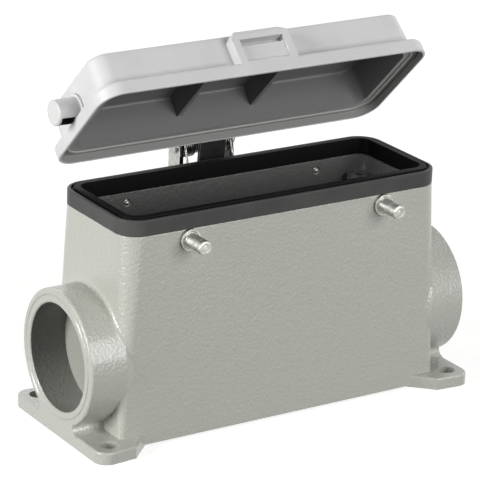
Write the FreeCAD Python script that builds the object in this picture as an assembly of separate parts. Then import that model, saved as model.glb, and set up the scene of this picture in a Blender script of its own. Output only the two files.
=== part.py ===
import FreeCAD, Part
import math
import os

Vector = FreeCAD.Vector

# The frame: X along the housing, Y to the hinge side, Z up, millimetres.
# The origin is the centre of the four foot holes, on the mounting surface.

# Housing walls
shoulder_length = 119.6
shoulder_width = 42.6
shoulder_height = 71.0
end_flare = 1.4
side_flare = 0.5
shoulder_corner_radius = 6.5
base_corner_radius = 1.5
shoulder_edge_radius = 0.4
underside_gap = 0.6
floor_thickness = 3.9
end_wall = 4.0
side_wall = 3.95
cavity_draft = 0.6
cavity_corner_radius = 4.0

# Rim that the gasket grips
rim_setback = 1.05
rim_thickness = 1.7
rim_height = 3.9

# Feet at both ends
foot_hole_reach_x = 6.2
foot_hole_reach_y = 1.7
foot_hole_radius = 3.0
foot_thickness = 4.1
foot_edge_distance = 6.1
foot_corner_radius = 4.5
foot_edge_radius = 0.7
foot_root_offset = 14.4
foot_root_inset = 0.5
foot_shoulder_x = 7.2
foot_shoulder_y = 5.3

# Round cable entries
entry_height = 26.5
entry_bore_radius = 17.75
entry_bore_chamfer = 0.4
entry_wall = 4.75
entry_edge_radius = 0.8
entry_groove_inset = 1.9
entry_groove_width = 0.8
entry_groove_depth = 0.35
entry_taper_start = 13.1
entry_taper_end = 17.1
entry_taper_depth = 1.35
blind_entry_depth = 13.0
open_entry_spare = 0.5
entry_fillet_radius = 1.4
web_width = 21.4
web_rise = 1.6
web_flare = 2.2
web_length = 12.0

# Posts for the screws of a contact insert
post_inset_x = 3.8
post_inset_y = 3.85
post_radius = 4.2
post_drop = 5.6
post_length = 19.4
post_foot_taper = 3.0
post_hole_radius = 1.65
post_hole_depth = 12.0

# Locking pegs
peg_spacing = 74.0
peg_drop = 3.5
peg_collar_radius = 3.6
peg_collar_thickness = 1.2
peg_collar_chamfer = 0.3
peg_radius = 2.45
peg_length = 9.7
peg_edge = 0.45
peg_dimple_radius = 0.8
peg_dimple_depth = 0.4
peg_spigot_radius = 1.0
peg_rivet_radius = 1.35
peg_rivet_depth = 0.9
peg_fit = 0.05
peg_seat_gap = 0.02

# Rim gasket
gasket_overhang = 0.45
gasket_corner_radius = 8.0
gasket_foot_gap = 0.2
gasket_roof = 1.4
gasket_lip_rise = 0.45
gasket_lip_width = 2.2
gasket_groove_width = 0.9
gasket_groove_depth = 0.6
gasket_inner_step = 0.2
gasket_fit = 0.1
gasket_outer_edge_radius = 0.5
gasket_lip_edge_radius = 0.4

# Lid, drawn closed and then swung open
lid_gasket_gap = 0.3
lid_pocket_depth = 2.65
lid_end_clearance = 1.02
lid_side_clearance = 0.62
lid_wall = 0.88
lid_corner_radius = 7.8
lid_flange_height = 4.8
lid_flange_top_radius = 1.3
lid_flange_lip_radius = 0.5
lid_side_step = 4.1
lid_end_step = 2.4
lid_height = 17.0
lid_side_draft = 0.2
lid_end_draft = 0.8
lid_upper_corner_radius = 5.7
lid_top_radius = 1.4
lid_side_shell = 1.7
lid_end_shell = 3.4
lid_roof = 2.0
lid_hollow_draft = 1.3
lid_hollow_corner_radius = 4.6
lid_hollow_radius = 1.0
lid_bead_height = 0.5
lid_bead_width = 0.7
lid_rib_spacing = 28.4
lid_rib_thickness = 1.6
lid_rib_depth = 7.0
lid_open_angle = 44.75

# Round lug on each end of the lid
end_lug_radius = 4.15
end_lug_height = 7.8
end_lug_reach = 5.85
end_lug_edge = 0.4
end_lug_pad_radius = 5.2
end_lug_pad_inset = 1.9
end_lug_slot_length = 4.4
end_lug_slot_width = 4.6
end_lug_slot_depth = 3.2
end_lug_slot_inset = 1.1

# Grip at the front of the lid
grip_width = 21.6
grip_side_width = 2.6
grip_corner = 2.4
grip_drop = 0.8
grip_slope_height = 1.7
grip_slope_depth = 1.5
grip_lip_height = 3.55
grip_recess = 0.9
grip_slot_height = 1.9
grip_slot_depth = 2.4

# Hinge
axis_offset_y = 10.7
axis_offset_z = 8.0
pin_radius = 1.5
pin_fit = 0.05
pin_head_radius = 2.6
pin_head_thickness = 1.0
pin_tail = 1.9
pin_chamfer = 0.3
pin_groove_radius = 1.15
ring_radius = 2.7
ring_thickness = 0.6
ring_mouth = 1.9
side_gap = 0.05
knuckle_width = 8.8
knuckle_radius = 3.4
knuckle_arm_base = 7.8
knuckle_arm_top = 14.6
knuckle_neck = 5.4

# Folded bracket that carries the pin
bracket_width = 21.3
bracket_thickness = 1.5
bracket_height = 13.0
bracket_drop = 0.5
bracket_ear_depth = 7.0
bracket_ear_head = 2.9
bracket_shoulder = 3.0
bracket_slope = 8.5
pad_depth = 1.1
pad_margin = 1.2

# Tongue that stands in front of the hinge
tongue_width = 10.0
tongue_foot_width = 17.4
tongue_foot_height = 9.0
tongue_foot_lift = 1.0
tongue_thickness = 1.2
tongue_top = 10.2
tongue_knee = 2.0
tongue_set_back = 1.6
tongue_lean = 0.9

# Screws of the bracket
screw_spacing = 11.0
screw_radius = 1.5
screw_hole_radius = 1.7
screw_head_radius = 2.6
screw_head_height = 1.7
screw_head_chamfer = 0.5
screw_depth = 3.8
screw_hole_spare = 0.4
screw_slot_width = 0.8
screw_slot_depth = 0.9
screw_drop = 5.9
screw_fit = 0.05

# Torsion springs
spring_wire = 0.8
spring_radius = 2.65
spring_pitch = 0.84
spring_turns = 2
spring_leg_reach = 1.6
spring_push_height = 3.4
spring_touch_gap = 0.05

# Places that follow from the sizes above
half_length = shoulder_length / 2
half_width = shoulder_width / 2
base_half_x = half_length + end_flare
base_half_y = half_width + side_flare
hole_x = half_length + foot_hole_reach_x
hole_y = half_width + foot_hole_reach_y
end_face_x = hole_x + foot_edge_distance
floor_z = underside_gap + floor_thickness
cavity_half_x = half_length - end_wall
cavity_half_y = half_width - side_wall
post_x = cavity_half_x - post_inset_x
post_y = cavity_half_y - post_inset_y
entry_radius = entry_bore_radius + entry_wall
rim_half_x = half_length - rim_setback
rim_half_y = half_width - rim_setback
rim_radius = shoulder_corner_radius - rim_setback
rim_top_z = shoulder_height + rim_height
peg_z = shoulder_height - peg_drop
post_top_z = shoulder_height - post_drop
gasket_half_x = half_length + gasket_overhang
gasket_half_y = half_width + gasket_overhang
gasket_land_z = rim_top_z + gasket_roof
gasket_top_z = gasket_land_z + gasket_lip_rise
gasket_inner_x = cavity_half_x + gasket_inner_step
gasket_inner_y = cavity_half_y + gasket_inner_step
lip_x = gasket_inner_x + gasket_lip_width
lip_y = gasket_inner_y + gasket_lip_width
lip_radius = cavity_corner_radius + gasket_lip_width
lid_z = gasket_top_z + lid_gasket_gap - lid_pocket_depth
pocket_half_x = gasket_half_x + lid_end_clearance
pocket_half_y = gasket_half_y + lid_side_clearance
lid_half_x = pocket_half_x + lid_wall
lid_half_y = pocket_half_y + lid_wall
upper_half_x = lid_half_x - lid_end_step
upper_half_y = lid_half_y - lid_side_step
axis_y = half_width + axis_offset_y
axis_z = shoulder_height + axis_offset_z
pad_y = half_width + pad_depth
bracket_top_z = shoulder_height - bracket_drop
bracket_back_y = pad_y + bracket_thickness
ear_outer_x = bracket_width / 2
ear_inner_x = ear_outer_x - bracket_thickness
tongue_back_y = bracket_back_y + tongue_thickness
screw_z = bracket_top_z - screw_drop
hinge_axis_point = Vector(0, axis_y, axis_z)


# Shapes used by several pieces

def line(start, end):
    return Part.LineSegment(start, end).toShape()


def rounded_rectangle(half_x, half_y, radius, z):
    inner_x = half_x - radius
    inner_y = half_y - radius
    corners = [(inner_x, inner_y), (-inner_x, inner_y), (-inner_x, -inner_y), (inner_x, -inner_y)]
    arcs = []
    for quarter, (x, y) in enumerate(corners):
        start = 90 * quarter
        arcs.append(Part.makeCircle(radius, Vector(x, y, z), Vector(0, 0, 1), start, start + 90))
    edges = []
    for index, arc in enumerate(arcs):
        edges.append(arc)
        following = arcs[(index + 1) % 4]
        edges.append(line(arc.valueAt(arc.LastParameter), following.valueAt(following.FirstParameter)))
    return Part.Wire(edges)


def block(half_x, half_y, radius, z_low, z_high):
    face = Part.Face(rounded_rectangle(half_x, half_y, radius, z_low))
    return face.extrude(Vector(0, 0, z_high - z_low))


def tapered_block(low, high):
    return Part.makeLoft([rounded_rectangle(*low), rounded_rectangle(*high)], True, True)


def box(x_low, x_high, y_low, y_high, z_low, z_high):
    return Part.makeBox(x_high - x_low, y_high - y_low, z_high - z_low, Vector(x_low, y_low, z_low))


def cylinder_x(radius, x_low, x_high, y, z):
    return Part.makeCylinder(radius, x_high - x_low, Vector(x_low, y, z), Vector(1, 0, 0))


def cylinder_y(radius, y_low, y_high, x, z):
    return Part.makeCylinder(radius, y_high - y_low, Vector(x, y_low, z), Vector(0, 1, 0))


def cylinder_z(radius, z_low, z_high, x, y):
    return Part.makeCylinder(radius, z_high - z_low, Vector(x, y, z_low), Vector(0, 0, 1))


def turned(profile, origin, axis):
    # A profile is a list of (distance along the axis, radius), closed along the axis.
    direction = Vector(axis)
    points = [origin + direction * along - Vector(0, 0, radius) for along, radius in profile]
    wire = Part.makePolygon(points + [points[0]])
    return Part.Face(wire).revolve(origin, direction, 360)


def slab_x(outline, x_low, x_high):
    # An outline of (y, z) points, extruded along X.
    points = [Vector(x_low, y, z) for y, z in outline]
    wire = Part.makePolygon(points + [points[0]])
    return Part.Face(wire).extrude(Vector(x_high - x_low, 0, 0))


def mirrored(shape, normal):
    return shape.mirror(Vector(0, 0, 0), Vector(normal))


def tangent_point(point, centre, radius, side):
    # Where a line from the point touches the circle; side is 1 or -1.
    dx = centre[0] - point[0]
    dy = centre[1] - point[1]
    distance = math.hypot(dx, dy)
    turn = math.atan2(dy, dx) + side * math.asin(radius / distance)
    reach = math.sqrt(distance ** 2 - radius ** 2)
    return point[0] + reach * math.cos(turn), point[1] + reach * math.sin(turn)


def round_edges(shape, radius, chosen):
    edges = [edge for edge in shape.Edges if chosen(edge)]
    return shape.makeFillet(radius, edges)


def lies_at_z(z):
    return lambda edge: abs(edge.BoundBox.ZMin - z) < 0.001 and abs(edge.BoundBox.ZMax - z) < 0.001


def wall_half_width(z):
    # Half the width of the leaning long walls at a height.
    share = (z - underside_gap) / (shoulder_height - underside_gap)
    return base_half_y + (half_width - base_half_y) * share


def cavity_half_width(z):
    share = (z - floor_z) / (shoulder_height - floor_z)
    return cavity_half_y - cavity_draft * (1 - share)


# Housing

def foot_plate():
    # The plate under the right end, with an ear at each corner.
    root_x = hole_x - foot_root_offset
    root_y = base_half_y - foot_root_inset
    shoulder = (hole_x - foot_shoulder_x, hole_y + foot_shoulder_y)
    radius = foot_corner_radius
    centre = (end_face_x - radius, hole_y + foot_edge_distance - radius)
    touch = tangent_point(shoulder, centre, radius, 1)
    middle = math.atan2(touch[1] - centre[1], touch[0] - centre[0]) / 2
    bend = (centre[0] + radius * math.cos(middle), centre[1] + radius * math.sin(middle))
    side = [(root_x, root_y), shoulder, touch, bend, (end_face_x, centre[1])]
    upper = [Vector(x, y, 0) for x, y in side]
    lower = [Vector(x, -y, 0) for x, y in side]
    edges = []
    for points in (upper, lower):
        edges.append(line(points[0], points[1]))
        edges.append(line(points[1], points[2]))
        edges.append(Part.Arc(points[2], points[3], points[4]).toShape())
    edges.append(line(upper[0], lower[0]))
    edges.append(line(upper[4], lower[4]))
    wire = Part.Wire(Part.__sortEdges__(edges))
    plate = Part.Face(wire).extrude(Vector(0, 0, foot_thickness))
    top = lies_at_z(foot_thickness)
    return round_edges(plate, foot_edge_radius, lambda edge: top(edge) and edge.BoundBox.XLength > 0.001)


def entry_boss():
    # The round collar of the right cable entry, solid.
    root = end_face_x - entry_taper_end
    profile = [(root, 0), (root, entry_radius - entry_taper_depth)]
    profile.append((end_face_x - entry_taper_start, entry_radius))
    profile += [(end_face_x, entry_radius), (end_face_x, 0)]
    boss = turned(profile, Vector(0, 0, entry_height), (1, 0, 0))
    top = entry_height + entry_radius
    rim = lambda edge: edge.BoundBox.XMin > end_face_x - 0.001 and edge.BoundBox.ZMax > top - 0.001
    return round_edges(boss, entry_edge_radius, rim)


def entry_web():
    # The foot of the collar, with hollow sides that flare into the plate.
    half = web_width / 2
    x_low = end_face_x - web_length
    z_low = foot_thickness
    z_root = foot_thickness / 2
    z_high = entry_height - math.sqrt(entry_radius ** 2 - half ** 2) + web_rise
    root = [Vector(x_low, side * (half + web_flare), z_root) for side in (-1, 1)]
    corner = [Vector(x_low, side * (half + web_flare), z_low) for side in (-1, 1)]
    neck = [Vector(x_low, side * half, z_low + web_flare) for side in (-1, 1)]
    sag = web_flare * (1 - math.sqrt(0.5))
    waist = [Vector(x_low, side * (half + sag), z_low + sag) for side in (-1, 1)]
    top = [Vector(x_low, side * half, z_high) for side in (-1, 1)]
    edges = [Part.Arc(corner[0], waist[0], neck[0]).toShape(), line(neck[0], top[0])]
    edges += [line(top[0], top[1]), line(top[1], neck[1])]
    edges.append(Part.Arc(neck[1], waist[1], corner[1]).toShape())
    edges += [line(corner[1], root[1]), line(root[1], root[0]), line(root[0], corner[0])]
    return Part.Face(Part.Wire(edges)).extrude(Vector(web_length, 0, 0))


def housing_outside():
    base = (base_half_x, base_half_y, base_corner_radius, underside_gap)
    shoulder = (half_length, half_width, shoulder_corner_radius, shoulder_height)
    walls = tapered_block(base, shoulder)
    walls = round_edges(walls, shoulder_edge_radius, lies_at_z(shoulder_height))
    boss = entry_boss()
    for side, collar in ((1, boss), (-1, mirrored(boss, (1, 0, 0)))):
        chosen = lambda edge: is_collar_root(edge, side)
        walls = round_edges(walls.fuse(collar), entry_fillet_radius, chosen)
    end = foot_plate().fuse(entry_web())
    pad_half = bracket_width / 2 + pad_margin
    pad_low = bracket_top_z - bracket_height - pad_margin
    pad = box(-pad_half, pad_half, 0, pad_y, pad_low, shoulder_height - shoulder_edge_radius)
    return walls.fuse([end, mirrored(end, (1, 0, 0)), pad]).removeSplitter()


def is_collar_root(edge, side):
    # The curves over the upper part of a collar; side is 1 for the right end, -1 for the left.
    bounds = edge.BoundBox
    near, far = sorted((side * bounds.XMin, side * bounds.XMax))
    on_root = near > end_face_x - entry_taper_start - 0.05 and far < base_half_x - 0.5
    high = bounds.ZMin > entry_height - entry_radius / 2 and bounds.ZMax < entry_height + entry_radius + 0.1
    return on_root and high and edge.Length > 2


def housing_cavity():
    low = (cavity_half_x - cavity_draft, cavity_half_y - cavity_draft, cavity_corner_radius, floor_z)
    high = (cavity_half_x, cavity_half_y, cavity_corner_radius, shoulder_height)
    return tapered_block(low, high)


def rim():
    outer = block(rim_half_x, rim_half_y, rim_radius, shoulder_height, rim_top_z)
    inner = block(rim_half_x - rim_thickness, rim_half_y - rim_thickness, rim_radius - rim_thickness,
                  shoulder_height, rim_top_z)
    return outer.cut(inner)


def entry_bore(depth):
    # The bore of the right entry, with its chamfered mouth.
    mouth = entry_bore_radius + entry_bore_chamfer
    profile = [(end_face_x, 0), (end_face_x, mouth), (end_face_x - entry_bore_chamfer, entry_bore_radius)]
    profile += [(end_face_x - depth, entry_bore_radius), (end_face_x - depth, 0)]
    return turned(profile, Vector(0, 0, entry_height), (1, 0, 0))


def entry_groove():
    # The V groove turned in the collar's face.
    outer = entry_radius - entry_groove_inset
    inner = outer - entry_groove_width
    profile = [(end_face_x, inner), (end_face_x, outer)]
    profile.append((end_face_x - entry_groove_depth, (inner + outer) / 2))
    return turned(profile, Vector(0, 0, entry_height), (1, 0, 0))


def peg_hole(x):
    # A hole through the front wall, opened towards the cavity for the riveted end.
    inner_y = cavity_half_width(peg_z)
    outer_y = wall_half_width(peg_z)
    radius = peg_spigot_radius + peg_fit
    head = peg_rivet_radius + peg_fit
    past = 1.0
    slope = (head - radius) / peg_rivet_depth
    profile = [(inner_y - past, 0), (inner_y - past, head + slope * past)]
    profile += [(inner_y + peg_rivet_depth, radius), (outer_y + past, radius), (outer_y + past, 0)]
    return turned(profile, Vector(x, 0, peg_z), (0, -1, 0))


def housing():
    shape = housing_outside().cut(housing_cavity())
    shape = shape.fuse(rim())
    cavity = housing_cavity()
    cuts = [mirrored(entry_bore(blind_entry_depth), (1, 0, 0))]
    cuts.append(entry_bore(end_face_x - cavity_half_x + cavity_draft + open_entry_spare))
    cuts += [entry_groove(), mirrored(entry_groove(), (1, 0, 0))]
    for x in (-post_x, post_x):
        for y in (-post_y, post_y):
            low = post_top_z - post_length
            post = cylinder_z(post_radius, low, post_top_z, x, y)
            taper = post_foot_taper
            foot = Part.makeCone(post_radius - taper, post_radius, taper, Vector(x, y, low - taper))
            shape = shape.fuse(post.fuse(foot).common(cavity))
            cuts.append(cylinder_z(post_hole_radius, post_top_z - post_hole_depth, post_top_z, x, y))
    for x in (-hole_x, hole_x):
        for y in (-hole_y, hole_y):
            cuts.append(cylinder_z(foot_hole_radius, 0, foot_thickness, x, y))
    for x in (-peg_spacing / 2, peg_spacing / 2):
        cuts.append(peg_hole(x))
        cuts.append(mirrored(peg_hole(x), (0, 1, 0)))
    for x in (-screw_spacing / 2, screw_spacing / 2):
        depth = screw_depth + screw_hole_spare
        cuts.append(cylinder_y(screw_radius + screw_fit, pad_y - depth, pad_y, x, screw_z))
    return shape.cut(cuts).removeSplitter()


# Locking pegs

def peg(x, side):
    # side is -1 for the front wall and 1 for the rear wall.
    seat = wall_half_width(peg_z - peg_collar_radius) + peg_seat_gap
    inner_y = cavity_half_width(peg_z)
    tip = seat + peg_length
    profile = [(inner_y, 0), (inner_y, peg_rivet_radius)]
    profile += [(inner_y + peg_rivet_depth, peg_spigot_radius), (seat, peg_spigot_radius)]
    collar_top = seat + peg_collar_thickness
    profile += [(seat, peg_collar_radius), (collar_top - peg_collar_chamfer, peg_collar_radius)]
    profile += [(collar_top, peg_collar_radius - peg_collar_chamfer)]
    profile += [(collar_top, peg_radius), (tip - peg_edge, peg_radius)]
    profile += [(tip, peg_radius - peg_edge), (tip, peg_dimple_radius), (tip - peg_dimple_depth, 0)]
    return turned(profile, Vector(x, 0, peg_z), (0, side, 0))


# Rim gasket

def rim_gasket():
    foot_z = shoulder_height + gasket_foot_gap
    outside = block(gasket_half_x, gasket_half_y, gasket_corner_radius, foot_z, gasket_land_z)
    outside = round_edges(outside, gasket_outer_edge_radius, lies_at_z(gasket_land_z))
    lip = block(lip_x, lip_y, lip_radius, gasket_land_z - gasket_groove_depth, gasket_top_z)
    lip = round_edges(lip, gasket_lip_edge_radius, lies_at_z(gasket_top_z))
    width = gasket_groove_width
    groove = block(lip_x + width, lip_y + width, lip_radius + width, gasket_land_z - gasket_groove_depth,
                   gasket_top_z)
    shape = outside.cut(groove).fuse(lip)
    opening = block(gasket_inner_x, gasket_inner_y, cavity_corner_radius, shoulder_height, gasket_top_z)
    shape = shape.cut(opening)
    outer_fit = block(rim_half_x + gasket_fit, rim_half_y + gasket_fit, rim_radius + gasket_fit,
                      shoulder_height, rim_top_z + gasket_fit)
    inset = rim_thickness + gasket_fit
    inner_fit = block(rim_half_x - inset, rim_half_y - inset, rim_radius - inset, shoulder_height,
                      rim_top_z + gasket_fit)
    return shape.cut(outer_fit.cut(inner_fit)).removeSplitter()


# Lid

def lid_outside():
    flange_top = lid_z + lid_flange_height
    top = lid_z + lid_height
    flange = block(lid_half_x, lid_half_y, lid_corner_radius, lid_z, flange_top)
    flange = round_edges(flange, lid_flange_top_radius, lies_at_z(flange_top))
    flange = round_edges(flange, lid_flange_lip_radius, lies_at_z(lid_z))
    low = (upper_half_x, upper_half_y, lid_upper_corner_radius, flange_top)
    high = (upper_half_x - lid_end_draft, upper_half_y - lid_side_draft, lid_upper_corner_radius, top)
    upper = round_edges(tapered_block(low, high), lid_top_radius, lies_at_z(top))
    return flange.fuse(upper)


def lid_hollow():
    pocket_top = lid_z + lid_pocket_depth
    top = lid_z + lid_height - lid_roof
    half_x = upper_half_x - lid_end_shell
    half_y = upper_half_y - lid_side_shell
    low = (half_x, half_y, lid_hollow_corner_radius, pocket_top)
    high = (half_x - lid_hollow_draft, half_y - lid_hollow_draft, lid_hollow_corner_radius, top)
    hollow = round_edges(tapered_block(low, high), lid_hollow_radius, lies_at_z(top))
    pocket = block(pocket_half_x, pocket_half_y, lid_corner_radius - lid_wall, lid_z, pocket_top)
    for x in (-lid_rib_spacing / 2, lid_rib_spacing / 2):
        half = lid_rib_thickness / 2
        rib = box(x - half, x + half, -half_width, half_width, top - lid_rib_depth, lid_z + lid_height)
        hollow = hollow.cut(rib)
    return pocket.fuse(hollow)


def lid_bead():
    # The raised line in the gasket pocket, over the middle of the gasket's groove.
    pocket_top = lid_z + lid_pocket_depth
    bottom = pocket_top - lid_bead_height
    inner = (gasket_groove_width - lid_bead_width) / 2
    outer = inner + lid_bead_width
    ring = block(lip_x + outer, lip_y + outer, lip_radius + outer, bottom, pocket_top)
    return ring.cut(block(lip_x + inner, lip_y + inner, lip_radius + inner, bottom, pocket_top))


def end_lug():
    # The round lug on a pad at the left end, with a slot in its underside.
    tip = lid_half_x + end_lug_reach
    z = lid_z + end_lug_height
    inner = -upper_half_x + lid_end_draft
    lug = cylinder_x(end_lug_radius, -tip, inner, 0, z)
    lug = lug.makeChamfer(end_lug_edge, [e for e in lug.Edges if abs(e.BoundBox.XMax + tip) < 0.001])
    start = tip - end_lug_slot_inset
    half = end_lug_slot_width / 2
    slot = box(-start, -start + end_lug_slot_length, -half, half, z - end_lug_radius,
               z - end_lug_radius + end_lug_slot_depth)
    pad = cylinder_x(end_lug_pad_radius, -lid_half_x + end_lug_pad_inset, inner, 0, z)
    return lug.cut(slot).fuse(pad)


def front_grip():
    # A block on the front wall, with a lip to lift the lid by.
    half = grip_width / 2
    inside = half - grip_side_width
    front = -lid_half_y
    base = lid_z + lid_flange_height - lid_flange_top_radius
    top = lid_z + lid_height - grip_drop
    lip_low = top - grip_lip_height
    outline = [(-half, base), (half, base), (half, top - grip_corner), (half - grip_corner, top)]
    outline += [(grip_corner - half, top), (-half, top - grip_corner)]
    points = [Vector(x, front, z) for x, z in outline]
    depth = lid_side_step + lid_side_shell
    grip = Part.Face(Part.makePolygon(points + [points[0]])).extrude(Vector(0, depth, 0))
    slope = [(front, top - grip_slope_height), (front, top), (front + grip_slope_depth, top)]
    grip = grip.cut(slab_x(slope, -half, half))
    grip = grip.cut(box(-inside, inside, front, front + grip_recess, lid_z + lid_flange_height, lip_low))
    slot_depth = grip_recess + grip_slot_depth
    return grip.cut(box(-inside, inside, front, front + slot_depth, lip_low - grip_slot_height, lip_low))


def hinge_knuckle():
    # The arm from the rear wall over the tongue to the eye on the pin.
    half = knuckle_width / 2
    root_y = upper_half_y - lid_side_shell
    arm_low = (axis_y - knuckle_neck, lid_z + knuckle_arm_base)
    arm_high = (root_y, lid_z + knuckle_arm_top)
    centre = (axis_y, axis_z)
    under = tangent_point(arm_low, centre, knuckle_radius, -1)
    over = tangent_point(arm_high, centre, knuckle_radius, 1)
    arm = slab_x([(root_y, arm_low[1]), arm_low, under, centre, over, arm_high], -half, half)
    eye = cylinder_x(knuckle_radius, -half, half, axis_y, axis_z)
    return arm.fuse(eye)


def open_lid(shape):
    turned_shape = shape.copy()
    turned_shape.rotate(hinge_axis_point, Vector(1, 0, 0), -lid_open_angle)
    return turned_shape


def lid_closed():
    hollow = lid_hollow()
    outside = lid_outside()
    extras = [end_lug(), mirrored(end_lug(), (1, 0, 0)), front_grip(), hinge_knuckle()]
    shape = outside.fuse(extras).cut(hollow).fuse(lid_bead())
    half = knuckle_width / 2
    shape = shape.cut(cylinder_x(pin_radius + pin_fit, -half, half, axis_y, axis_z))
    return shape.removeSplitter()


def lid():
    return open_lid(lid_closed())


# Hinge

def hinge_bracket():
    half = ear_outer_x
    low = bracket_top_z - bracket_height
    plate = box(-half, half, pad_y, bracket_back_y, low, bracket_top_z)
    front_y = axis_y - bracket_ear_depth / 2
    back_y = axis_y + bracket_ear_depth / 2
    head_low = axis_z - bracket_shoulder
    centre = (axis_y, axis_z)
    front_touch = tangent_point((front_y, head_low), centre, bracket_ear_head, 1)
    back_touch = tangent_point((back_y, head_low), centre, bracket_ear_head, -1)
    outline = [(pad_y, low), (pad_y, bracket_top_z), (front_y, bracket_top_z), (front_y, head_low)]
    outline += [front_touch, centre, back_touch, (back_y, head_low), (back_y, low + bracket_slope)]
    outline.append((front_y, low))
    ear = slab_x(outline, ear_inner_x, ear_outer_x)
    ear = ear.fuse(cylinder_x(bracket_ear_head, ear_inner_x, ear_outer_x, axis_y, axis_z))
    shape = plate.fuse([ear, mirrored(ear, (1, 0, 0))])
    shape = shape.cut(cylinder_x(pin_radius + pin_fit, -half, half, axis_y, axis_z))
    for x in (-screw_spacing / 2, screw_spacing / 2):
        shape = shape.cut(cylinder_y(screw_hole_radius, pad_y, bracket_back_y, x, screw_z))
    return shape.removeSplitter()


def catch_plate():
    # A strip that lies on the bracket and stands up in front of the knuckle.
    low = bracket_top_z - bracket_height + tongue_foot_lift
    knee_z = low + tongue_foot_height
    top = shoulder_height + tongue_top
    set_back = bracket_back_y + tongue_set_back
    thick = tongue_thickness
    outline = [(bracket_back_y, low), (bracket_back_y, knee_z), (set_back, shoulder_height + tongue_knee)]
    outline += [(set_back - tongue_lean, top), (set_back - tongue_lean + thick, top)]
    outline += [(set_back + thick, shoulder_height + tongue_knee)]
    outline += [(tongue_back_y, knee_z), (tongue_back_y, low)]
    half = tongue_width / 2
    strip = slab_x(outline, -half, half)
    foot = box(-tongue_foot_width / 2, tongue_foot_width / 2, bracket_back_y, tongue_back_y, low, knee_z)
    shape = strip.fuse(foot)
    for x in (-screw_spacing / 2, screw_spacing / 2):
        shape = shape.cut(cylinder_y(screw_hole_radius, bracket_back_y, tongue_back_y, x, screw_z))
    return shape.removeSplitter()


def bracket_screw(x):
    origin = Vector(x, 0, screw_z)
    head = tongue_back_y + screw_head_height
    profile = [(pad_y - screw_depth, 0), (pad_y - screw_depth, screw_radius), (tongue_back_y, screw_radius)]
    profile += [(tongue_back_y, screw_head_radius), (head - screw_head_chamfer, screw_head_radius)]
    profile += [(head, screw_head_radius - screw_head_chamfer), (head, 0)]
    shape = turned(profile, origin, (0, 1, 0))
    reach = screw_head_radius
    half = screw_slot_width / 2
    slot = box(x - reach, x + reach, head - screw_slot_depth, head, screw_z - half, screw_z + half)
    return shape.cut(slot)


def hinge_pin():
    start = -ear_outer_x - side_gap - pin_head_thickness
    groove = ear_outer_x + side_gap
    end = groove + pin_tail
    profile = [(start, 0), (start, pin_head_radius - pin_chamfer), (start + pin_chamfer, pin_head_radius)]
    profile += [(start + pin_head_thickness, pin_head_radius), (start + pin_head_thickness, pin_radius)]
    profile += [(groove, pin_radius), (groove, pin_groove_radius)]
    profile += [(groove + ring_thickness + side_gap, pin_groove_radius)]
    profile += [(groove + ring_thickness + side_gap, pin_radius), (end - pin_chamfer, pin_radius)]
    profile += [(end, pin_radius - pin_chamfer), (end, 0)]
    return turned(profile, Vector(0, axis_y, axis_z), (1, 0, 0))


def pin_retaining_ring():
    low = ear_outer_x + side_gap
    high = low + ring_thickness
    disc = cylinder_x(ring_radius, low, high, axis_y, axis_z)
    inner = cylinder_x(pin_groove_radius + pin_fit, low, high, axis_y, axis_z)
    half = ring_mouth / 2
    mouth = box(low, high, axis_y - half, axis_y + half, axis_z, axis_z + ring_radius)
    return disc.cut([inner, mouth])


def torsion_spring():
    # The right spring: its fixed leg rests on the bracket, its moving leg on the lid's rear wall.
    wire_radius = spring_wire / 2
    centre = (axis_y, axis_z)
    seat = (bracket_back_y + wire_radius + spring_touch_gap, bracket_top_z - spring_leg_reach)
    fixed = tangent_point(seat, centre, spring_radius, 1)
    share = spring_push_height / (lid_height - lid_flange_height)
    wall_y = upper_half_y - lid_side_draft * share
    wall = (wall_y + wire_radius + 3 * spring_touch_gap, lid_z + lid_flange_height + spring_push_height)
    moving = swing_open(tangent_point(wall, centre, spring_radius, -1))
    start = math.degrees(math.atan2(fixed[1] - axis_z, fixed[0] - axis_y))
    finish = math.degrees(math.atan2(moving[1] - axis_z, moving[0] - axis_y))
    turns = spring_turns + ((start - finish) % 360) / 360
    length = spring_pitch * turns
    x_start = (ear_inner_x + knuckle_width / 2 + length) / 2
    # The helix climbs along Z from the X axis; laid along -X, it starts at the fixed leg.
    helix = Part.makeHelix(spring_pitch, length, spring_radius)
    helix.rotate(Vector(0, 0, 0), Vector(0, 1, 0), -90)
    helix.rotate(Vector(0, 0, 0), Vector(1, 0, 0), start - 90)
    helix.translate(Vector(x_start, axis_y, axis_z))
    coil = helix.Edges[0]
    first, last = coil.valueAt(coil.FirstParameter), coil.valueAt(coil.LastParameter)
    # Each leg runs straight on from the wire's own direction.
    foot = first - coil.tangentAt(coil.FirstParameter) * math.dist(fixed, seat)
    toe = last + coil.tangentAt(coil.LastParameter) * math.dist(moving, swing_open(wall))
    path = Part.Wire([line(foot, first), coil, line(last, toe)])
    profile = Part.Wire(Part.makeCircle(wire_radius, foot, first - foot))
    return path.makePipeShell([profile], True, False)


def swing_open(point):
    angle = math.radians(-lid_open_angle)
    dy = point[0] - axis_y
    dz = point[1] - axis_z
    y = axis_y + dy * math.cos(angle) - dz * math.sin(angle)
    z = axis_z + dy * math.sin(angle) + dz * math.cos(angle)
    return y, z


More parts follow.
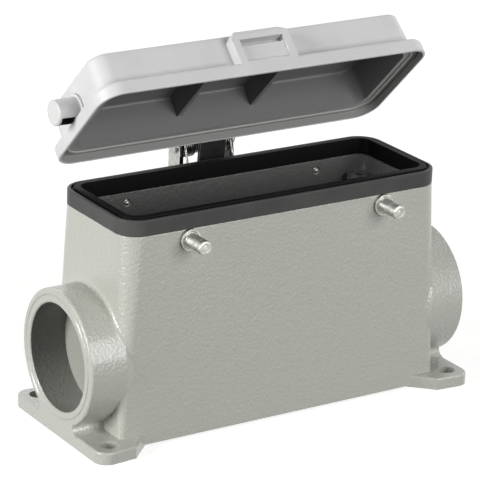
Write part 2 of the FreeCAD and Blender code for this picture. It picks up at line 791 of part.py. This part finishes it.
def parts():
    half = peg_spacing / 2
    screw_x = screw_spacing / 2
    spring = torsion_spring()
    return {
        "housing": housing(),
        "rim_gasket": rim_gasket(),
        "peg_front_left": peg(-half, -1),
        "peg_front_right": peg(half, -1),
        "peg_rear_left": peg(-half, 1),
        "peg_rear_right": peg(half, 1),
        "lid": lid(),
        "hinge_bracket": hinge_bracket(),
        "catch_plate": catch_plate(),
        "bracket_screw_left": bracket_screw(-screw_x),
        "bracket_screw_right": bracket_screw(screw_x),
        "hinge_pin": hinge_pin(),
        "pin_retaining_ring": pin_retaining_ring(),
        "torsion_spring_left": mirrored(spring, (1, 0, 0)),
        "torsion_spring_right": spring,
    }


def write_parts():
    os.makedirs("parts", exist_ok=True)
    for name, shape in parts().items():
        shape.exportStep("parts/" + name + ".step")
        print(name, len(shape.Solids), "solid", shape.isValid(), round(shape.Volume, 1), "mm3")


write_parts()
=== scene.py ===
import math

import bpy
from mathutils import Matrix, Vector


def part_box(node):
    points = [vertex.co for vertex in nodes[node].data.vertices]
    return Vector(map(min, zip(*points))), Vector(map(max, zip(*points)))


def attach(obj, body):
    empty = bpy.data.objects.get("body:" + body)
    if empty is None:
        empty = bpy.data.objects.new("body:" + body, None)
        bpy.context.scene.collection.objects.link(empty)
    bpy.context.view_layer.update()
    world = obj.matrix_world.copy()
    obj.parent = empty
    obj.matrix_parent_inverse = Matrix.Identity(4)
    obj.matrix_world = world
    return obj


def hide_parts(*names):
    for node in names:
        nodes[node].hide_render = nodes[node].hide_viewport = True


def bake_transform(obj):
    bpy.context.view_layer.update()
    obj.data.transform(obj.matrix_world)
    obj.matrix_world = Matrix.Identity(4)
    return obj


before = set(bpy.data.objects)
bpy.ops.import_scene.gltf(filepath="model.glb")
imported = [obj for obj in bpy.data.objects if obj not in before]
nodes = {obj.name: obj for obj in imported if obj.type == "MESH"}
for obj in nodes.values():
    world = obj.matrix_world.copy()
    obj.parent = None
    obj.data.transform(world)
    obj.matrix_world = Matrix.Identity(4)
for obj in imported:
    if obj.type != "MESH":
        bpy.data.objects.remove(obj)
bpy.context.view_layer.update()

millimetre = 0.001
mergeDistance = 0.002 * millimetre


# materials

def colour(code):
    # sRGB hex to linear light
    parts = [int(code[i:i + 2], 16) / 255 for i in (1, 3, 5)]
    return tuple(c / 12.92 if c < 0.04045 else ((c + 0.055) / 1.055) ** 2.4 for c in parts) + (1.0,)


def perMetre(sizeInMm):
    # how many of a pattern this size fit in a metre, which is what a Scale socket asks for
    return 1 / (sizeInMm * millimetre)


def fill(tree, node, values):
    # each value is a socket to link or a number to set
    for socket, value in values.items():
        if isinstance(value, bpy.types.NodeSocket):
            tree.links.new(value, node.inputs[socket])
        else:
            node.inputs[socket].default_value = value


def addNode(tree, kind, inputs=None, **settings):
    node = tree.nodes.new("ShaderNode" + kind)
    for name, value in settings.items():
        setattr(node, name, value)
    fill(tree, node, inputs or {})
    return node


def number(tree, operation, *values):
    return addNode(tree, "Math", dict(enumerate(values)), operation=operation).outputs["Value"]


def arrow(tree, operation, *values):
    return addNode(tree, "VectorMath", dict(enumerate(values)), operation=operation).outputs["Vector"]


def measure(tree, operation, *values):
    return addNode(tree, "VectorMath", dict(enumerate(values)), operation=operation).outputs["Value"]


def both(tree, first, second):
    return number(tree, "MINIMUM", first, second)


def either(tree, first, second):
    return number(tree, "MAXIMUM", first, second)


def newTree(owner):
    owner.use_nodes = True
    owner.node_tree.nodes.clear()
    return owner.node_tree


def newMaterial(name):
    material = bpy.data.materials.new(name)
    tree = newTree(material)
    output = addNode(tree, "OutputMaterial")
    shader = addNode(tree, "BsdfPrincipled")
    tree.links.new(shader.outputs["BSDF"], output.inputs["Surface"])
    place = addNode(tree, "TexCoord").outputs["Object"]
    return material, tree, shader, place


def noise(tree, place, size, detail, output="Fac"):
    inputs = {"Vector": place, "Scale": perMetre(size), "Detail": detail}
    return addNode(tree, "TexNoise", inputs).outputs[output]


def bump(tree, height, depth, strength, normal=None):
    inputs = {"Strength": strength, "Distance": depth * millimetre, "Height": height}
    if normal is not None:
        inputs["Normal"] = normal
    return addNode(tree, "Bump", inputs).outputs["Normal"]


def roundEdges(tree, radius, samples=6):
    return addNode(tree, "Bevel", {"Radius": radius * millimetre}, samples=samples).outputs["Normal"]


def ramp(tree, value, limits, lowColour, highColour):
    node = addNode(tree, "ValToRGB", {"Fac": value})
    for element, position, tone in zip(node.color_ramp.elements, limits, (lowColour, highColour)):
        element.position = position
        element.color = tone
    return node.outputs["Color"]


def spread(tree, value, limits):
    # stretches a pattern's 0 to 1 between two numbers
    inputs = {"Value": value, "To Min": limits[0], "To Max": limits[1]}
    return addNode(tree, "MapRange", inputs).outputs["Result"]


def insideBox(tree, place, low, high, corner=0.01):
    # 1 where a point lies in a box with round upright corners, given in millimetres, and 0 elsewhere
    centre = [(a + b) / 2 * millimetre for a, b in zip(low, high)]
    half = [(b - a) / 2 * millimetre for a, b in zip(low, high)]
    half = [half[0] - corner * millimetre, half[1] - corner * millimetre, half[2]]
    off = arrow(tree, "SUBTRACT", place, centre)
    off = arrow(tree, "ABSOLUTE", off)
    off = arrow(tree, "SUBTRACT", off, half)
    flat = arrow(tree, "MAXIMUM", off, (0, 0, 0))
    flat = arrow(tree, "MULTIPLY", flat, (1, 1, 0))
    near = number(tree, "LESS_THAN", measure(tree, "LENGTH", flat), corner * millimetre)
    rise = addNode(tree, "SeparateXYZ", {"Vector": off}).outputs["Z"]
    return both(tree, near, number(tree, "LESS_THAN", rise, 0.0))


def insideBore(tree, place, centre, radius):
    # 1 within a radius of a line along X, in millimetres
    flat = arrow(tree, "MULTIPLY", place, (0, 1, 1))
    far = measure(tree, "DISTANCE", flat, [c * millimetre for c in centre])
    return number(tree, "LESS_THAN", far, radius * millimetre)


def blendColour(tree, share, first, second):
    # a Mix node's colour sockets are its inputs 6 and 7 and its output 2
    node = addNode(tree, "Mix", {0: share, 6: first, 7: second}, data_type="RGBA")
    return node.outputs[2]


def dress(obj, material):
    obj.data.materials.clear()
    obj.data.materials.append(material)


paintLook = {
    "dark": "#A1A29A", "light": "#A9AAA2", "limits": (0.35, 0.65),  # the grey's spread
    "cell": 1.0, "warpCell": 1.6, "warpReach": 1.1,  # mm, a hammered dent and what bends it
    "melt": 0.6, "dentDepth": 0.16, "dentStrength": 1.0,
    "grain": 0.35, "grainDepth": 0.02, "grainStrength": 0.35,  # the fine grain in the dents
    "edge": 0.2,  # mm, paint drawn round over sharp edges
    "rough": (0.3, 0.42), "coat": 0.4, "coatRough": 0.14,
    "inside": "#5B5B5A",  # darker grey on the inner walls: partly a darker coat, partly painted shade
    "insideLow": (-55.9, -17.4, 4.4), "insideHigh": (55.9, 17.4, 78.0), "insideCorner": 4.0,
    "bore": "#626260", "boreLitFoot": "#83837E",  # walls of the two round entries: painted shade, painted lighter towards the foot where light falls
    "boreGradeLow": 9.0, "boreGradeHigh": 22.0,  # mm up
    "disc": "#96978F",  # the thin wall that closes the left one, darkened as painted shade
    "boreCentre": (0, 0, 26.5), "boreRadius": 17.9, "boreSide": 30, "boreTop": 60,
    "leftBore": (-71.75, -59.2), "rightBore": (54.6, 71.75), "discPlace": (-59.2, -58.9),  # along X
    "threadPitch": 1.5875, "threadDepth": 0.45, "threadStrength": 1.0,  # mm, cut in the right entry
}


def threadHeight(tree, place, look):
    # 0 to 1 across each turn of a thread along X
    split = addNode(tree, "SeparateXYZ", {"Vector": place})
    rise = number(tree, "SUBTRACT", split.outputs["Z"], look["boreCentre"][2] * millimetre)
    turn = number(tree, "ARCTAN2", split.outputs["Y"], rise)
    part = number(tree, "MULTIPLY", turn, 1 / (2 * math.pi))
    along = number(tree, "MULTIPLY_ADD", split.outputs["X"], perMetre(look["threadPitch"]), part)
    return number(tree, "MULTIPLY", number(tree, "PINGPONG", along, 0.5), 2.0)


def hammeredPaint():
    # hammered stoving enamel on die-cast aluminium: soft dents that catch the light, half gloss
    look = paintLook
    material, tree, shader, place = newMaterial("hammeredGreyEnamel")
    warp = noise(tree, place, look["cell"] * look["warpCell"], 2.0, "Color")
    bent = arrow(tree, "MULTIPLY", warp, [look["warpReach"] * millimetre] * 3)
    moved = arrow(tree, "ADD", place, bent)
    cells = {"Vector": moved, "Scale": perMetre(look["cell"]), "Smoothness": look["melt"]}
    dents = addNode(tree, "TexVoronoi", cells, feature="SMOOTH_F1").outputs["Distance"]
    grain = noise(tree, place, look["grain"], 3.0)
    base = ramp(tree, grain, look["limits"], colour(look["dark"]), colour(look["light"]))
    # painted shade, in part: the inner walls take a darker grey
    within = insideBox(tree, place, look["insideLow"], look["insideHigh"], look["insideCorner"])
    base = blendColour(tree, within, base, colour(look["inside"]))
    # painted shade on the walls of the two round entries, painted lighter towards their foot where the
    # light falls
    side, top = look["boreSide"], look["boreTop"]
    left, right, disc = [insideBox(tree, place, (look[name][0], -side, 0), (look[name][1], side, top))
                         for name in ("leftBore", "rightBore", "discPlace")]
    inBore = insideBore(tree, place, look["boreCentre"], look["boreRadius"])
    high = addNode(tree, "SeparateXYZ", {"Vector": place}).outputs["Z"]
    low, full = look["boreGradeLow"] * millimetre, look["boreGradeHigh"] * millimetre
    foot = addNode(tree, "MapRange", {"Value": high, "From Min": low, "From Max": full}).outputs["Result"]
    boreShadeAndLight = ramp(tree, foot, (0.0, 1.0), colour(look["boreLitFoot"]), colour(look["bore"]))
    base = blendColour(tree, both(tree, either(tree, left, right), inBore), base, boreShadeAndLight)
    # painted shade on the wall that closes the left entry
    base = blendColour(tree, both(tree, disc, inBore), base, colour(look["disc"]))
    cut = number(tree, "MULTIPLY", threadHeight(tree, place, look), both(tree, right, inBore))
    skin = bump(tree, cut, look["threadDepth"], look["threadStrength"], roundEdges(tree, look["edge"]))
    skin = bump(tree, dents, look["dentDepth"], look["dentStrength"], skin)
    skin = bump(tree, grain, look["grainDepth"], look["grainStrength"], skin)
    fill(tree, shader, {"Base Color": base, "Normal": skin, "Metallic": 0.0,
                        "Roughness": spread(tree, grain, look["rough"]),
                        "Coat Weight": look["coat"], "Coat Roughness": look["coatRough"]})
    return material


lidLook = {
    "dark": "#BEBFBE", "light": "#C5C6C5", "limits": (0.35, 0.65), "blotch": 14.0,
    "grain": 0.4, "grainDepth": 0.02, "grainStrength": 0.25, "edge": 0.15, "rough": (0.42, 0.52),
    "inside": "#696969", "pocket": "#868685",  # partly darker coats, partly painted shade, in the hollow and the rim's pocket
    "hollowLow": (-56.43, -17.53, 76.9), "hollowHigh": (56.43, 17.53, 89.5),  # with the cover shut
    "pocketLow": (-61.33, -22.43, 74.5), "pocketHigh": (61.33, 22.43, 77.1),
    "hollowCorner": 4.6, "pocketCorner": 6.9,
    # painted light: the bead is a lighter grey than the pocket's painted shade, where it catches the light
    "bead": "#A2A2A0",
    "beadLow": (-59.1, -20.65, 76.3), "beadHigh": (59.1, 20.65, 76.95), "beadCorner": 7.1,
    "slot": "#0C0C0C",  # painted shade in the slot of each end lug
    "slotLow": (-67.0, -2.35, 77.9), "slotHigh": (-62.4, 2.35, 81.3),
    "hinge": (0, 32.0, 79.0), "opened": 44.75,  # mm and degrees
}


def satinPaint():
    # smooth satin powder paint on the cast cover: a fine orange peel, little gloss
    look = lidLook
    material, tree, shader, place = newMaterial("satinGreyPowderPaint")
    blotch = noise(tree, place, look["blotch"], 3.0)
    grain = noise(tree, place, look["grain"], 3.0)
    base = ramp(tree, blotch, look["limits"], colour(look["dark"]), colour(look["light"]))
    turn = Matrix.Rotation(math.radians(look["opened"]), 3, "X")
    hinge = Vector(look["hinge"]) * millimetre
    shut = {"Vector": place, "Rotation": turn.to_euler(), "Location": hinge - turn @ hinge}
    spot = addNode(tree, "Mapping", shut).outputs["Vector"]
    # painted shade, in part, in the pocket and the hollow; the bead kept lighter as painted light
    for name, tone in (("pocket", "pocket"), ("hollow", "inside"), ("bead", "bead")):
        within = insideBox(tree, spot, look[name + "Low"], look[name + "High"], look[name + "Corner"])
        base = blendColour(tree, within, base, colour(look[tone]))
    # painted shade in the slots of both end lugs
    mirrored = arrow(tree, "MULTIPLY", spot, (-1, 1, 1))
    slots = [insideBox(tree, end, look["slotLow"], look["slotHigh"]) for end in (spot, mirrored)]
    base = blendColour(tree, either(tree, *slots), base, colour(look["slot"]))
    peel = bump(tree, grain, look["grainDepth"], look["grainStrength"], roundEdges(tree, look["edge"]))
    fill(tree, shader, {"Base Color": base, "Normal": peel,
                        "Roughness": spread(tree, grain, look["rough"])})
    return material


rubberLook = {
    "dark": "#434343", "light": "#4B4B4A", "limits": (0.35, 0.7), "bloom": 11.0,
    "grain": 0.25, "grainDepth": 0.01, "grainStrength": 0.2, "edge": 0.2,
    "rough": (0.34, 0.44), "gloss": 0.09,
    "inner": "#050505", "dull": 0.15,  # painted shade: the lip and inner side nearly black, and rougher there
    "innerLow": (-59.2, -20.75, 70.0), "innerHigh": (59.2, 20.75, 79.0), "innerCorner": 7.2,
}


def blackRubber():
    # moulded nitrile rubber: nearly black, a dull even sheen and a faint bloom of dust
    look = rubberLook
    material, tree, shader, place = newMaterial("mouldedNitrileRubber")
    bloom = noise(tree, place, look["bloom"], 4.0)
    grain = noise(tree, place, look["grain"], 2.0)
    base = ramp(tree, bloom, look["limits"], colour(look["dark"]), colour(look["light"]))
    # painted shade: the lip and inner side take a near black
    within = insideBox(tree, place, look["innerLow"], look["innerHigh"], look["innerCorner"])
    base = blendColour(tree, within, base, colour(look["inner"]))
    skin = bump(tree, grain, look["grainDepth"], look["grainStrength"], roundEdges(tree, look["edge"]))
    dull = number(tree, "MULTIPLY", within, look["dull"])
    rough = number(tree, "ADD", spread(tree, bloom, look["rough"]), dull)
    fill(tree, shader, {"Base Color": base, "Normal": skin, "Specular IOR Level": look["gloss"],
                        "Roughness": rough})
    return material


nickelLook = {
    "dark": "#A9AAA4", "light": "#C6C7C2", "limits": (0.3, 0.7), "cloud": 2.2,
    "marks": 0.2, "markDepth": 0.01, "markStrength": 0.15, "rough": (0.22, 0.38),
    "hingeShade": "#2E2E2C",  # painted shade between the hinge's ears
    "hingeShadeLow": (-10.5, 25.0, 70.6), "hingeShadeHigh": (10.5, 38.0, 90.0),
}


def nickelSteel():
    # folded and turned steel with a nickel plate: bright, with fine marks
    look = nickelLook
    material, tree, shader, place = newMaterial("nickelPlatedSteel")
    cloud = noise(tree, place, look["cloud"], 3.0)
    marks = noise(tree, place, look["marks"], 2.0)
    base = ramp(tree, cloud, look["limits"], colour(look["dark"]), colour(look["light"]))
    # painted shade: a dark grey between the hinge's ears
    hingeShade = insideBox(tree, place, look["hingeShadeLow"], look["hingeShadeHigh"])
    base = blendColour(tree, hingeShade, base, colour(look["hingeShade"]))
    skin = bump(tree, marks, look["markDepth"], look["markStrength"])
    fill(tree, shader, {"Base Color": base, "Metallic": 1.0, "Normal": skin,
                        "Roughness": spread(tree, cloud, look["rough"])})
    return material


turnedLook = {
    "dark": "#96968F", "light": "#BDBDB8", "limits": (0.3, 0.7), "cloud": 1.4,
    "marks": 0.25, "markDepth": 0.02, "markStrength": 0.3, "edge": 0.12, "rough": (0.34, 0.48),
}


def turnedSteel():
    # turned and tumbled steel under nickel: a satin grey, finely marked
    look = turnedLook
    material, tree, shader, place = newMaterial("satinNickelPlatedSteel")
    cloud = noise(tree, place, look["cloud"], 4.0)
    marks = noise(tree, place, look["marks"], 2.0)
    base = ramp(tree, cloud, look["limits"], colour(look["dark"]), colour(look["light"]))
    skin = bump(tree, marks, look["markDepth"], look["markStrength"], roundEdges(tree, look["edge"]))
    fill(tree, shader, {"Base Color": base, "Metallic": 1.0, "Normal": skin,
                        "Roughness": spread(tree, cloud, look["rough"])})
    return material


# painted shade and reflection: the wire's greys are dark
wireLook = {"dark": "#3C3C3A", "light": "#8C8D8A", "limits": (0.3, 0.7), "cloud": 1.2, "rough": (0.2, 0.34)}


def springWire():
    # drawn spring wire: dark greys as painted shade and painted dark reflection, with bright glints
    look = wireLook
    material, tree, shader, place = newMaterial("drawnSpringWire")
    cloud = noise(tree, place, look["cloud"], 3.0)
    base = ramp(tree, cloud, look["limits"], colour(look["dark"]), colour(look["light"]))
    fill(tree, shader, {"Base Color": base, "Metallic": 1.0,
                        "Roughness": spread(tree, cloud, look["rough"])})
    return material


plateLook = {
    "dark": "#141414", "light": "#202020", "limits": (0.3, 0.7), "cloud": 3.0, "rough": (0.28, 0.42),
    "edge": 0.22, "edgeHighlight": "#A5A5A0", "edgeHighlightLimits": (0.8, 0.97),
}


def blackPlate():
    # blued and oiled steel strip: black with a low gloss, with a painted highlight along its edges
    look = plateLook
    material, tree, shader, place = newMaterial("blackenedSteelStrip")
    cloud = noise(tree, place, look["cloud"], 4.0)
    base = ramp(tree, cloud, look["limits"], colour(look["dark"]), colour(look["light"]))
    soft = roundEdges(tree, look["edge"], 8)
    flat = addNode(tree, "NewGeometry").outputs["Normal"]
    level = measure(tree, "DOT_PRODUCT", soft, flat)
    # painted highlight: a pale grey along the rounded edges
    edgeHighlight = ramp(tree, level, look["edgeHighlightLimits"], (1, 1, 1, 1), (0, 0, 0, 1))
    base = blendColour(tree, edgeHighlight, base, colour(look["edgeHighlight"]))
    fill(tree, shader, {"Base Color": base, "Normal": soft,
                        "Roughness": spread(tree, cloud, look["rough"])})
    return material


print("materials")
enamel = hammeredPaint()
satin = satinPaint()
rubber = blackRubber()
nickel = nickelSteel()
turned = turnedSteel()
wire = springWire()
blackened = blackPlate()

finishes = {
    "housing": enamel, "lid": satin, "rim_gasket": rubber, "catch_plate": blackened,
    "torsion_spring_left": wire, "torsion_spring_right": wire,
}
for name, node in nodes.items():
    dress(node, finishes.get(name, nickel))


# pieces

def startPiece():
    # nothing selected, so that the next operator acts on the new piece alone
    bpy.ops.object.select_all(action="DESELECT")


def applyPlace():
    bpy.ops.object.transform_apply(location=True, rotation=True, scale=True)


def finishPiece(obj, name, material, angle=30):
    # place and turn go into the mesh, and the normals point outwards
    startPiece()
    obj.select_set(True)
    bpy.context.view_layer.objects.active = obj
    applyPlace()
    bpy.ops.object.mode_set(mode="EDIT")
    bpy.ops.mesh.select_all(action="SELECT")
    bpy.ops.mesh.remove_doubles(threshold=mergeDistance)
    bpy.ops.mesh.normals_make_consistent(inside=False)
    bpy.ops.object.mode_set(mode="OBJECT")
    bpy.ops.object.shade_smooth_by_angle(angle=math.radians(angle))
    obj.name = name
    dress(obj, material)


def ownCopy(obj):
    twin = obj.copy()
    twin.data = obj.data.copy()
    bpy.context.scene.collection.objects.link(twin)
    return twin


def turnUp(outline, sides):
    # a turned piece that stands on Z: a disc is extruded and scaled from ring to ring
    startPiece()
    low, radius = outline[0]
    bpy.ops.mesh.primitive_circle_add(vertices=sides, radius=radius * millimetre, fill_type="NGON",
                                      location=(0, 0, low * millimetre))
    bpy.ops.object.mode_set(mode="EDIT")
    bpy.ops.mesh.select_all(action="SELECT")
    for (low, before), (high, after) in zip(outline, outline[1:]):
        rise = (0, 0, (high - low) * millimetre)
        bpy.ops.mesh.extrude_region_move(TRANSFORM_OT_translate={"value": rise})
        bpy.ops.transform.resize(value=(after / before, after / before, 1))
    bpy.ops.object.mode_set(mode="OBJECT")
    applyPlace()
    return bpy.context.active_object


print("pegs")
pegLook = {
    # mm from the wall's inner face, and radius in mm
    "rivet": [(-0.3, 0.25), (-0.2, 0.5), (0.0, 0.7), (0.5, 0.8), (0.6, 1.0), (4.05, 1.0)],
    "collar": [(4.05, 3.45), (4.15, 3.6), (5.05, 3.6), (5.2, 3.45), (5.2, 2.95)],
    "shaft": [(5.02, 2.75), (5.02, 2.45), (5.15, 2.38), (13.3, 2.38), (13.58, 2.27), (13.72, 2.07)],
    "tip": [(13.75, 1.9), (13.75, 1.4), (13.6, 1.25), (13.6, 0.85), (13.7, 0.7)],
    "sides": 56,
}


def makePegs():
    look = pegLook
    rod = turnUp(look["rivet"] + look["collar"] + look["shaft"] + look["tip"], look["sides"])
    for end in ("front_left", "front_right", "rear_left", "rear_right"):
        low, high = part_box("peg_" + end)
        side = -1 if end.startswith("front") else 1
        inner = max(low[1], -high[1]) if side > 0 else min(high[1], -low[1])
        peg = ownCopy(rod)
        peg.location = ((low[0] + high[0]) / 2, inner, (low[2] + high[2]) / 2)
        peg.rotation_euler = (-side * math.pi / 2, 0, 0)
        finishPiece(peg, "lockingPeg_" + end, turned)
        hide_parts("peg_" + end)
        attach(peg, "base")
    bpy.data.objects.remove(rod)


makePegs()


print("springs")
springLook = {
    # mm and degrees, in the plane across the hinge: y, z
    "wire": 0.8, "radius": 3.9, "wholeTurns": 4, "xStart": 8.7, "xEnd": 4.85,
    "hinge": (32.0, 79.0), "seat": (24.35, 68.9), "wall": (19.64, 82.6), "opened": 44.75,
    "sides": 14, "stepsPerTurn": 30, "smooth": 60,
}


def touchPoint(point, centre, radius, side):
    # where a line from the point touches the coil
    dy, dz = centre[0] - point[0], centre[1] - point[1]
    distance = math.hypot(dy, dz)
    turn = math.atan2(dz, dy) + side * math.asin(radius / distance)
    reach = math.sqrt(distance ** 2 - radius ** 2)
    return point[0] + reach * math.cos(turn), point[1] + reach * math.sin(turn)


def swung(point, centre, angle):
    dy, dz = point[0] - centre[0], point[1] - centre[1]
    a = -math.radians(angle)
    return centre[0] + dy * math.cos(a) - dz * math.sin(a), centre[1] + dy * math.sin(a) + dz * math.cos(a)


def extendEnd(obj, keep, leg):
    # draws one open end of the wire straight on and closes it
    bpy.ops.object.mode_set(mode="EDIT")
    bpy.ops.mesh.select_mode(type="VERT")
    bpy.ops.mesh.select_all(action="DESELECT")
    bpy.ops.mesh.select_non_manifold(extend=False, use_boundary=True, use_wire=False, use_verts=False,
                                     use_multi_face=False, use_non_contiguous=False)
    bpy.ops.object.mode_set(mode="OBJECT")
    for vertex in obj.data.vertices:
        vertex.select = vertex.select and keep(vertex.co)
    for edge in obj.data.edges:
        edge.select = all(obj.data.vertices[i].select for i in edge.vertices)
    for face in obj.data.polygons:
        face.select = False
    bpy.ops.object.mode_set(mode="EDIT")
    bpy.ops.mesh.extrude_region_move(TRANSFORM_OT_translate={"value": leg})
    bpy.ops.mesh.edge_face_add()
    bpy.ops.object.mode_set(mode="OBJECT")


def windCoil(look, start, turns):
    # a ring of the wire's section, set at the fixed leg's angle and swept along X
    startPiece()
    place = (look["xStart"] * millimetre, 0, look["radius"] * millimetre)
    bpy.ops.mesh.primitive_circle_add(vertices=look["sides"], radius=look["wire"] / 2 * millimetre,
                                      location=place, rotation=(math.pi / 2, 0, 0))
    coil = bpy.context.active_object
    applyPlace()
    coil.rotation_euler = (start - math.pi / 2, 0, 0)
    applyPlace()
    wind = coil.modifiers.new("wind", "SCREW")
    wind.axis = "X"
    wind.angle = -2 * math.pi * turns
    wind.screw_offset = (look["xEnd"] - look["xStart"]) * millimetre
    wind.steps = wind.render_steps = round(look["stepsPerTurn"] * turns)
    wind.use_merge_vertices = False
    bpy.ops.object.modifier_apply(modifier="wind")
    return coil


def makeSprings():
    look = springLook
    centre = look["hinge"]
    radius = look["radius"]
    fixed = touchPoint(look["seat"], centre, radius, 1)
    push = swung(look["wall"], centre, look["opened"])
    moving = swung(touchPoint(look["wall"], centre, radius, -1), centre, look["opened"])
    start = math.atan2(fixed[1] - centre[1], fixed[0] - centre[0])
    finish = math.atan2(moving[1] - centre[1], moving[0] - centre[0])
    turns = look["wholeTurns"] + ((start - finish) % (2 * math.pi)) / (2 * math.pi)
    coil = windCoil(look, start, turns)
    slope = (look["xStart"] - look["xEnd"]) / turns / (2 * math.pi)  # mm of X for each radian
    ends = ((start, math.dist(fixed, look["seat"]), -1), (finish, math.dist(moving, push), 1))
    legs = []
    for angle, reach, way in ends:
        run = Vector((-slope, radius * math.sin(angle), -radius * math.cos(angle))).normalized()
        legs.append(run * way * reach * millimetre)
    middle = (look["xStart"] + look["xEnd"]) / 2 * millimetre
    extendEnd(coil, lambda co: co.x > middle, legs[0])
    extendEnd(coil, lambda co: co.x < middle, legs[1])
    coil.location = (0, centre[0] * millimetre, centre[1] * millimetre)
    finishPiece(coil, "hingeSpring_right", wire, look["smooth"])
    twin = ownCopy(coil)
    twin.scale = (-1, 1, 1)
    finishPiece(twin, "hingeSpring_left", wire, look["smooth"])
    for spring, end, side in ((coil, "right", 1), (twin, "left", -1)):
        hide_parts("torsion_spring_" + end)
        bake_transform(spring)


makeSprings()


# studio

print("studio")
stageLook = {
    "size": 6.0,          # m
    "paper": "#9F9F9D",   # what the camera sees under the glow
    "bounce": "#6E6E6C",  # what the object is lit by
    "glow": 0.78,
    "room": 0.06, "backdrop": 1.0,  # the world's light, and what the camera sees of it
}
white = (1, 1, 1, 1)


def seenDirectly(tree):
    # 1 for what the camera sees, also in a reflection or through glass, and 0 for light on things
    path = addNode(tree, "LightPath").outputs
    seen = either(tree, path["Is Camera Ray"], path["Is Glossy Ray"])
    return either(tree, seen, path["Is Transmission Ray"])


def makeFloor():
    # matt paper that shows white to the camera and keeps the shadow
    startPiece()
    bpy.ops.mesh.primitive_plane_add(size=stageLook["size"], location=(0, 0, 0))
    floor = bpy.context.active_object
    floor.name = "paperFloor"
    material = bpy.data.materials.new("whitePaper")
    tree = newTree(material)
    output = addNode(tree, "OutputMaterial")
    paper = addNode(tree, "BsdfDiffuse", {"Color": colour(stageLook["paper"])}).outputs["BSDF"]
    bounce = addNode(tree, "BsdfDiffuse", {"Color": colour(stageLook["bounce"])}).outputs["BSDF"]
    glow = addNode(tree, "Emission", {"Color": white, "Strength": stageLook["glow"]}).outputs["Emission"]
    shining = addNode(tree, "AddShader", {0: paper, 1: glow}).outputs["Shader"]
    mix = addNode(tree, "MixShader", {"Fac": seenDirectly(tree), 1: bounce, 2: shining})
    tree.links.new(mix.outputs["Shader"], output.inputs["Surface"])
    dress(floor, material)


def makeWorld():
    world = bpy.data.worlds.new("studioRoom")
    bpy.context.scene.world = world
    tree = newTree(world)
    output = addNode(tree, "OutputWorld")
    shades = [addNode(tree, "Background", {"Color": white, "Strength": stageLook[name]})
              for name in ("room", "backdrop")]
    mix = addNode(tree, "MixShader", {"Fac": seenDirectly(tree), 1: shades[0].outputs["Background"],
                                      2: shades[1].outputs["Background"]})
    tree.links.new(mix.outputs["Shader"], output.inputs["Surface"])


lampAim = (0, 0, 0.06)
lamps = {
    # degrees round the aim and up, distance, width and tall in metres, power in watts
    "keyLeft": {"azimuth": -90, "height": 14, "distance": 1.3, "size": 0.34, "tall": 0.8, "power": 21.5},
    "frontFill": {"azimuth": 14, "height": 18, "distance": 1.5, "size": 0.9, "tall": 0.9, "power": 20.0},
    "rightEdge": {"azimuth": 100, "height": 25, "distance": 1.4, "size": 0.8, "tall": 0.8, "power": 4.5},
    "backSoft": {"azimuth": 170, "height": 35, "distance": 1.5, "size": 1.0, "tall": 1.0, "power": 5.5},
}


def towards(azimuth, height):
    a, e = math.radians(azimuth), math.radians(height)
    return Vector((math.sin(a) * math.cos(e), -math.cos(a) * math.cos(e), math.sin(e)))


def makeLamps():
    for name, lamp in lamps.items():
        data = bpy.data.lights.new(name, "AREA")
        data.shape = "RECTANGLE"
        data.size = lamp["size"]
        data.size_y = lamp["tall"]
        data.energy = lamp["power"]
        obj = bpy.data.objects.new(name, data)
        away = towards(lamp["azimuth"], lamp["height"])
        obj.location = Vector(lampAim) + away * lamp["distance"]
        obj.rotation_mode = "QUATERNION"
        obj.rotation_quaternion = away.to_track_quat("Z", "Y")
        bpy.context.scene.collection.objects.link(obj)


view = {
    # the lens and place that a fit to the photograph's edges gave, for a square 480 pixel frame
    "azimuth": -33.23, "height": 19.73, "roll": 2.06, "distance": 0.90107, "lens": 205.72,
    "slideRight": 0.00324, "slideUp": -0.00876, "target": (0, 0, 0.045),
    "sensor": 36, "near": 0.05, "far": 50,
}


def makeCamera():
    data = bpy.data.cameras.new("photoCamera")
    data.sensor_width = view["sensor"]
    data.lens = view["lens"]
    data.clip_start = view["near"]
    data.clip_end = view["far"]
    obj = bpy.data.objects.new("photoCamera", data)
    bpy.context.scene.collection.objects.link(obj)
    back = towards(view["azimuth"], view["height"])
    a, roll = math.radians(view["azimuth"]), math.radians(view["roll"])
    level = Vector((math.cos(a), math.sin(a), 0))
    upright = back.cross(level)
    right = math.cos(roll) * level + math.sin(roll) * upright
    up = -math.sin(roll) * level + math.cos(roll) * upright
    place = Vector(view["target"]) + back * view["distance"]
    place = place - right * view["slideRight"] - up * view["slideUp"]
    turn = Matrix((right, up, back)).transposed().to_4x4()
    obj.matrix_world = Matrix.Translation(place) @ turn
    bpy.context.scene.camera = obj


makeFloor()
makeWorld()
makeLamps()
makeCamera()
bpy.context.scene.view_settings.view_transform = "Standard"

print("done")
